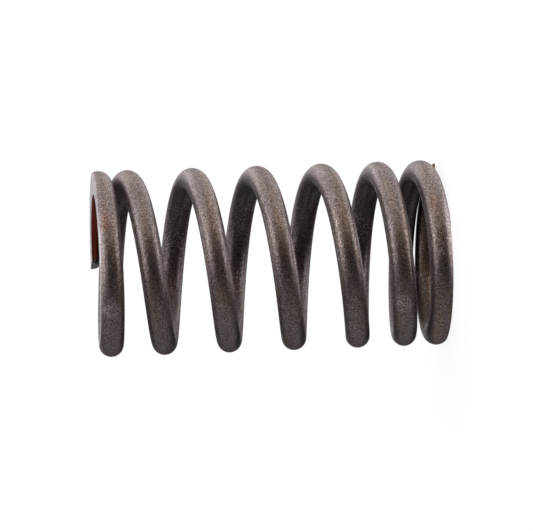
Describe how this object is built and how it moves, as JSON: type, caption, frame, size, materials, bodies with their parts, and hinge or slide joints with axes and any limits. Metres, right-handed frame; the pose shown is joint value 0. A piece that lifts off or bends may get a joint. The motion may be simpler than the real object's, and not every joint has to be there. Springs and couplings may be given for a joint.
{
  "type": "engine valve spring",
  "caption": "Cylindrical compression spring of dark round steel wire, with closed, ground ends and closer coils at one end.",
  "frame": {"origin": "centre of the coil's axis on the lower ground face", "axes": "+Z along the coil's axis to the upper ground face; the lower wire tip lies 9 degrees from +X"},
  "size_m": [0.0334, 0.0334, 0.0624],
  "materials": {
    "spring_steel": "dark oil-tempered wire, shot-peened, semi-gloss, with faint brown tints and bright ground end faces"
  },
  "bodies": {
    "root": {"valve_spring": "spring_steel"}
  },
  "joints": []
}
